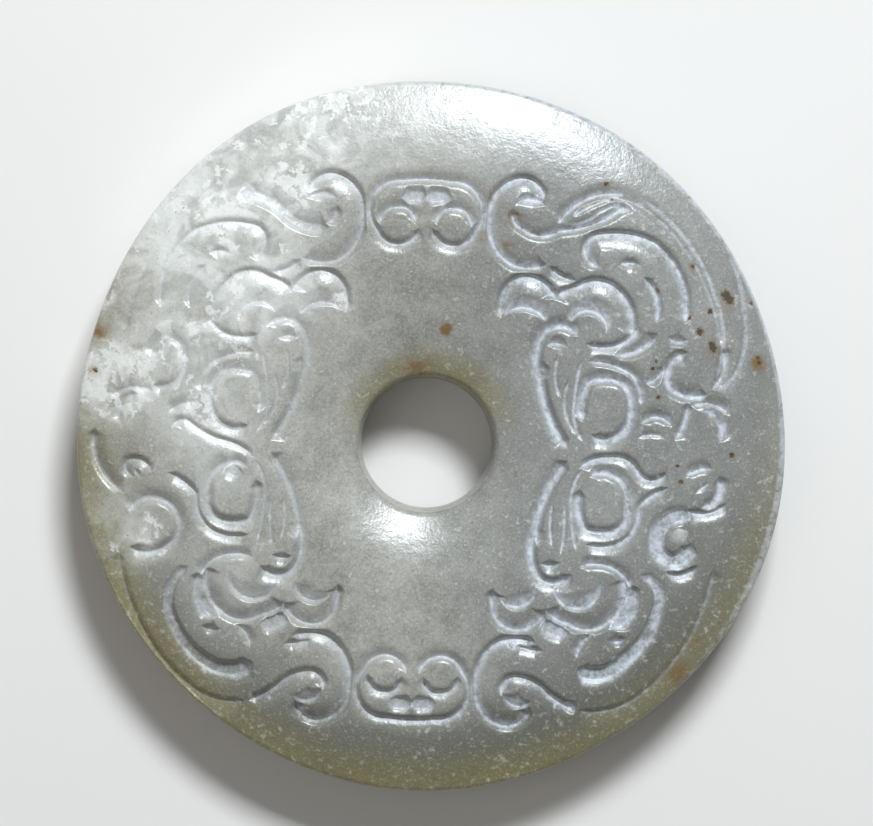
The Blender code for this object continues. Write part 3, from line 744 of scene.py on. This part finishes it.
class Jade(Finish):
    """Pale nephrite: cloudy veins, rusty stains in old pits, a satin polish, and white cuts.

    Each mask is a number from 0 to 1 over the surface, made of smooth rises of noises, of places
    on the disc and of the mesh's own layers. It says how much of a colour is mixed in.
    """

    def __init__(self, name, colours):
        super().__init__(name)
        self.colours = colours
        self.place = self.millimetres()
        self.across = self.node("ShaderNodeSeparateXYZ", inputs={"Vector": self.place}, output="X")
        self.upward = self.node("ShaderNodeSeparateXYZ", inputs={"Vector": self.place}, output="Y")
        self.from_middle = self.distance(self.place, RING_CENTRE)
        self.body = self.noise(self.place, *BODY)
        self.mottle = self.noise(self.place, *MOTTLE)
        self.grain = self.noise(self.place, *GRAIN)
        self.dust = self.noise(self.place, *DUST)
        self.cloud = self.layer("cloud")
        self.frost = self.layer("frost")

    def stone(self):
        """The stone alone, darker where its noises are high.

        It is cooler on the right, has painted shade that darkens it below, and is olive on the lower
        and left edges and at the top of the bore.
        """
        deep = self.body.rise(0.35, 0.65) * 0.22 + self.mottle.rise(0.30, 0.70) * 0.30
        deep = deep + self.grain.rise(0.36, 0.64) * 0.46
        colour = self.mixed(deep.held(), self.colours.stone, self.colours.stone_deep)
        colour = self.mixed(self.across.rise(*COOL_ACROSS) * 0.52, colour, self.colours.cool)
        # Painted shade: darkens the lower, outer part of the face, where the light from above falls
        # away
        painted_shade_below = self.upward.rise(*SHADE_BELOW_UPWARD) * self.from_middle.rise(*SHADE_BELOW_OUTWARD) * 0.85
        colour = self.mixed(painted_shade_below, colour, self.colours.painted_shade_below)
        low_edge = self.upward.rise(*EDGE_UPWARD) * self.from_middle.rise(*EDGE_OUTWARD)
        low_edge = low_edge * (0.45 + self.body) * (1.0 - self.across.rise(*EDGE_ACROSS) * 0.4)
        bore_edge = self.upward.rise(*BORE_UPWARD) * self.from_middle.rise(*BORE_OUTWARD) * 0.8
        left_edge = self.across.rise(*LEFT_ACROSS) * 0.30
        olive = low_edge + bore_edge + left_edge
        return self.mixed(olive.held(), colour, self.colours.olive)

    def flecks(self):
        """White flecks: whole cells, large and small, whose random number is high enough.

        The cloud and patch layers are added to that number, so most flecks lie where they do.
        """
        patch = self.layer("patch")
        ragged = self.shaken(self.place, *RAGGED)
        large, small = (
            (self.cells(ragged, scale) + self.cloud * by_cloud + patch * by_patch).rise(start, end)
            for scale, by_cloud, by_patch, start, end in FLECKS
        )
        return large.most(small) * (0.40 + self.grain)

    def clouded(self, colour, fleck):
        """The colour with milky veins, the flecks, and fine white and dark specks."""
        veins = self.noise(self.place, *VEINS)
        milk = 0.15 + veins.rise(0.40, 0.58) * 0.42 + self.mottle.rise(0.42, 0.60) * 0.20
        colour = self.mixed((self.cloud * milk).held(), colour, self.colours.cloud)
        colour = self.mixed((fleck * 0.70).held(), colour, self.colours.cloud)
        white = self.grain.rise(0.54, 0.74) * 0.42 + self.dust.rise(0.54, 0.78) * 0.22
        colour = self.mixed(white.held(), colour, self.colours.cloud)
        dark = self.grain.rise(0.48, 0.30) * 0.45 + self.dust.rise(0.46, 0.28) * 0.30
        dark = dark * (1.0 - self.cloud * 0.75)
        return self.mixed(dark.held(), colour, self.colours.stone_deep)

    def stained(self, colour):
        """The colour with rusty stains and dirt round the pits, and the mask of the pits."""
        flattened = {0: self.place, 1: (1.0, 1.0, FLATTENED)}
        level = self.node("ShaderNodeVectorMath", {"operation": "MULTIPLY"}, flattened)
        centre, radius, strength = RUST_SPOT
        stain = self.layer("stain") + self.near(level, centre, radius) * strength
        rust = stain * (0.30 + self.mottle.rise(0.35, 0.62) * 0.9 + (self.grain - 0.5))
        colour = self.mixed(rust.held() * 0.9, colour, self.colours.rust)
        pits = sum(self.near(level, centre, radius * PIT_HALO) for centre, radius in PITS)
        dirt = pits.held() + (self.dust - 0.5) * 1.3 + (self.grain - 0.5) * 0.8
        colour = self.mixed(dirt.rise(0.22, 0.50) * 0.85, colour, self.colours.dirt)
        pit = dirt.rise(0.52, 0.78)
        return self.mixed(pit * 0.95, colour, self.colours.pit), pit

    def made(self):
        """The whole material, with frost in the cuts, and a painted highlight in the frost's colour
        on the rim's upper edge.

        The frost is rougher than the polish, and the bump of its grain is stronger.
        """
        across, grain, frost = self.across, self.grain, self.frost
        fleck = self.flecks()
        colour, pit = self.stained(self.clouded(self.stone(), fleck))
        # Painted highlight: the rim's upper right corner is whitened where the key light catches it
        edge = self.from_middle.rise(*RIM_HIGHLIGHT_OUTWARD)
        edge = edge * (self.upward + across).rise(*RIM_HIGHLIGHT_DIAGONAL) * grain.rise(0.30, 0.55)
        frost_and_rim_highlight = (frost * (0.20 + grain.rise(0.30, 0.62) * 0.8) + edge * 0.55).held()
        whitened = frost_and_rim_highlight * (0.34 + across.rise(*FROST_ACROSS) * 0.36)
        colour = self.mixed(whitened, colour, self.colours.frost)
        roughness = self.colours.polish + frost_and_rim_highlight * 0.16 + fleck * 0.05 + pit * 0.3
        roughness = (roughness + (grain - 0.5) * 0.2).held()
        height = self.mottle * 0.9 + grain * (0.45 + frost * 0.8) + self.dust * 0.20
        normal = self.node("ShaderNodeBump", inputs={"Height": height, **GRAIN_BUMP})
        inputs = {"Base Color": colour, "Roughness": roughness, "Normal": normal, **INNER_LIGHT}
        settings = {"subsurface_method": "RANDOM_WALK"}
        return self.done(self.node("ShaderNodeBsdfPrincipled", settings, inputs))


def floor_finish(colours):
    """A matt, even pale surface with a very faint unevenness."""
    finish = Finish("studio_floor")
    cloudy = finish.noise(finish.millimetres(), 0.02, 2.0)
    colour = finish.mixed(cloudy * 0.2, colours.floor, colours.floor_deep)
    inputs = {"Base Color": colour, "Roughness": 0.85}
    return finish.done(finish.node("ShaderNodeBsdfPrincipled", inputs=inputs))


def number_property(name, description, default, **settings):
    return bpy.props.FloatProperty(name=name, description=description, default=default, **settings)


def size_property(name, description, default):
    return number_property(name, description, default * MM, unit="LENGTH", precision=5)


def count_property(name, description, default):
    return bpy.props.IntProperty(name=name, description=description, default=default)


def colour_property(name, description, default):
    return bpy.props.FloatVectorProperty(
        name=name, description=description, default=(*default, 1.0),
        subtype="COLOR", size=4, min=0.0, max=1.0,
    )


class DiscSizes(bpy.types.PropertyGroup):
    """Sizes of the blank and of the carved band."""

    outer_radius: size_property("Outer radius", "Radius about which the rim wanders", 29.96)
    thickness: size_property("Thickness", "Height of the crest above the back", 8.4)
    bore_radius: size_property("Bore radius", "Narrowest radius of the bore", 5.5)
    bore_flare: size_property("Bore flare", "How far the bore widens to its mouths", 0.25)
    bore_round: size_property("Bore rounding", "Radius of the bore's edges", 0.8)
    rim_round: size_property("Rim rounding", "Radius of the rim's edges", 0.55)
    crest_radius: size_property("Crest radius", "Where the face is highest", 16.5)
    face_at_rim: size_property("Face at rim", "Height of the face at the rim", 5.9)
    face_at_bore: size_property("Face at bore", "Height of the face at the bore", 6.2)
    land_inner: size_property("Land inner radius", "Where the flat of the back starts", 9.5)
    land_outer: size_property("Land outer radius", "Where the flat of the back ends", 24.0)
    back_at_rim: size_property("Back at rim", "How far the back lifts to the rim", 1.3)
    back_at_bore: size_property("Back at bore", "How far the back lifts to the bore", 0.6)
    carved_from: size_property("Carved from", "Inner radius of the fine carved band", 9.3)
    carved_to: size_property("Carved to", "Outer radius of the fine carved band", 28.4)
    grid_step: size_property("Grid step", "Distance between the rows of the carved band", 0.1)
    rim_fall: number_property("Rim fall", "Power of the fall to the rim", 2.7)
    bore_fall: number_property("Bore fall", "Power of the fall to the bore", 2.3)
    back_sweep: number_property("Back sweep", "Power of the back's lift", 1.84)
    grid_columns: count_property("Columns", "Points round the disc", 1760)
    triangles: count_property("Triangles", "Triangles that are kept", 190000)


class StoneColours(bpy.types.PropertyGroup):
    """Colours and polish of the stone, and the floor's colours."""

    stone: colour_property("Stone", "The stone's main colour", (0.53, 0.515, 0.46))
    stone_deep: colour_property("Deeper stone", "Its darker parts", (0.19, 0.187, 0.158))
    cool: colour_property("Cool stone", "Its greyer tint on the right", (0.185, 0.193, 0.197))
    # Painted shade: the colour that darkens the lower part of the disc
    painted_shade_below: colour_property("Lower band", "The darker green grey below", (0.155, 0.155, 0.126))
    olive: colour_property("Olive", "The yellow tint of the edges", (0.27, 0.235, 0.11))
    cloud: colour_property("Clouds", "White veins and flecks", (0.88, 0.88, 0.83))
    # The frost's colour also paints the highlight on the rim's upper right corner
    frost: colour_property("Frost", "The matt floor of the cuts", (0.72, 0.76, 0.82))
    rust: colour_property("Rust", "Rusty stains", (0.215, 0.112, 0.026))
    dirt: colour_property("Dirt", "Brown dirt round the pits", (0.19, 0.12, 0.045))
    pit: colour_property("Pits", "The pits' dark middles", (0.045, 0.033, 0.018))
    floor: colour_property("Floor", "The studio floor", (0.82, 0.79, 0.75))
    floor_deep: colour_property("Deeper floor", "Its faint clouds", (0.74, 0.715, 0.68))
    polish: number_property("Polish", "Roughness of the stone", 0.31, min=0, max=1)


class StudioSettings(bpy.types.PropertyGroup):
    """Camera and lights."""

    camera_distance: size_property("Camera distance", "From the disc to the camera", 520.0)
    camera_tilt: number_property(
        "Camera tilt", "Lean of the camera's line towards the top", np.radians(2.5), subtype="ANGLE"
    )
    key_power: number_property("Key light", "Power in watts", 4.6)
    fill_power: number_property("Fill light", "Power in watts", 0.5)
    world_strength: number_property("World", "Strength of the surroundings", 0.15)


class SCENE_OT_jade_disc(bpy.types.Operator):
    """Make the carved disc and its stone"""

    bl_idname = "jade_disc.make_disc"
    bl_label = "Carved disc"

    def execute(self, context):
        sizes, colours = context.scene.jade_disc_sizes, context.scene.jade_disc_colours
        disc = bpy.data.objects.new("carved_jade", disc_mesh(sizes))
        context.scene.collection.objects.link(disc)
        mesh = thinned(disc, sizes.triangles)
        marked(mesh, "cloud", CLOUDS)
        marked(mesh, "patch", PATCHES)
        marked(mesh, "stain", STAINS)
        mesh.materials.append(Jade("pale_jade", colours).made())
        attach(disc, "root")
        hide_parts("jade_disc")
        return {"FINISHED"}


def floor_piece(colours):
    """A flat square, a hair below the disc's back so that the two don't share a plane."""
    mesh = bpy.data.meshes.new("floor")
    sides = ((-1, -1), (1, -1), (1, 1), (-1, 1))
    corners = [(x * FLOOR_REACH, y * FLOOR_REACH, -FLOOR_DROP) for x, y in sides]
    mesh.from_pydata(corners, [], [(0, 1, 2, 3)])
    mesh.materials.append(floor_finish(colours))
    floor = bpy.data.objects.new("floor", mesh)
    bpy.context.scene.collection.objects.link(floor)
    return floor


def area_light(name, power, place, size, colour):
    """A rectangular light that shines on the origin."""
    light = bpy.data.lights.new(name, "AREA")
    light.shape = "RECTANGLE"
    light.size, light.size_y = size
    light.energy = power
    light.color = colour
    lamp = bpy.data.objects.new(name, light)
    lamp.location = place
    lamp.rotation_euler = (-Vector(place)).to_track_quat("-Z", "Y").to_euler()
    bpy.context.scene.collection.objects.link(lamp)


def studio_world(strength):
    """Even white surroundings."""
    world = bpy.data.worlds.new("studio")
    world.use_nodes = True
    background = world.node_tree.nodes["Background"].inputs
    background["Color"].default_value = (1.0, 1.0, 1.0, 1.0)
    background["Strength"].default_value = strength
    return world


def camera_above(distance, tilt):
    """A camera that looks down on the disc and sees it where the photograph has it.

    The lens is the film's width times the distance, over the width that the frame spans on the
    disc. The point aimed at is where the middle of the frame falls, a little below the crest.
    """
    camera = bpy.data.cameras.new("camera")
    pixel = (SOLID_HIGH.x - SOLID_LOW.x) / DISC_WIDTH_PX
    camera.sensor_width = FILM_WIDTH_MM
    camera.lens = FILM_WIDTH_MM * distance / (pixel * FRAME_WIDTH_PX)
    camera.clip_start, camera.clip_end = CAMERA_RANGE
    target = Vector((
        (FRAME_WIDTH_PX / 2 - DISC_CENTRE_PX[0]) * pixel,
        (DISC_CENTRE_PX[1] - FRAME_HEIGHT_PX / 2) * pixel,
        SOLID_HIGH.z * AIM_SHARE,
    ))
    eye = bpy.data.objects.new("camera", camera)
    eye.location = target + distance * Vector((0, np.sin(tilt), np.cos(tilt)))
    eye.rotation_euler = (-tilt, 0, 0)
    bpy.context.scene.collection.objects.link(eye)
    return eye


class SCENE_OT_jade_stage(bpy.types.Operator):
    """Make the floor, the lights and the camera"""

    bl_idname = "jade_disc.make_stage"
    bl_label = "Studio"

    def execute(self, context):
        scene = context.scene
        studio = scene.jade_disc_studio
        floor_piece(scene.jade_disc_colours)
        area_light("key", studio.key_power, **KEY_LIGHT)
        area_light("fill", studio.fill_power, **FILL_LIGHT)
        scene.world = studio_world(studio.world_strength)
        scene.camera = camera_above(studio.camera_distance, studio.camera_tilt)
        scene.view_settings.view_transform = "Standard"
        return {"FINISHED"}


class VIEW3D_PT_jade_disc(bpy.types.Panel):
    """The disc's sizes and colours, and a button for each step"""

    bl_label = "Carved jade disc"
    bl_space_type = "VIEW_3D"
    bl_region_type = "UI"
    bl_category = "Jade disc"

    def draw(self, context):
        scene = context.scene
        for operator in (SCENE_OT_jade_disc, SCENE_OT_jade_stage):
            self.layout.operator(operator.bl_idname)
        for group in (scene.jade_disc_sizes, scene.jade_disc_colours, scene.jade_disc_studio):
            box = self.layout.box()
            for name in group.__annotations__:
                box.prop(group, name)


CLASSES = (
    DiscSizes, StoneColours, StudioSettings,
    SCENE_OT_jade_disc, SCENE_OT_jade_stage, VIEW3D_PT_jade_disc,
)


def register():
    for made in CLASSES:
        bpy.utils.register_class(made)
    bpy.types.Scene.jade_disc_sizes = bpy.props.PointerProperty(type=DiscSizes)
    bpy.types.Scene.jade_disc_colours = bpy.props.PointerProperty(type=StoneColours)
    bpy.types.Scene.jade_disc_studio = bpy.props.PointerProperty(type=StudioSettings)


def unregister():
    del bpy.types.Scene.jade_disc_studio
    del bpy.types.Scene.jade_disc_colours
    del bpy.types.Scene.jade_disc_sizes
    for made in reversed(CLASSES):
        bpy.utils.unregister_class(made)


def main():
    register()
    bpy.ops.jade_disc.make_disc()
    bpy.ops.jade_disc.make_stage()
    bpy.context.view_layer.update()


if __name__ == "__main__":
    main()
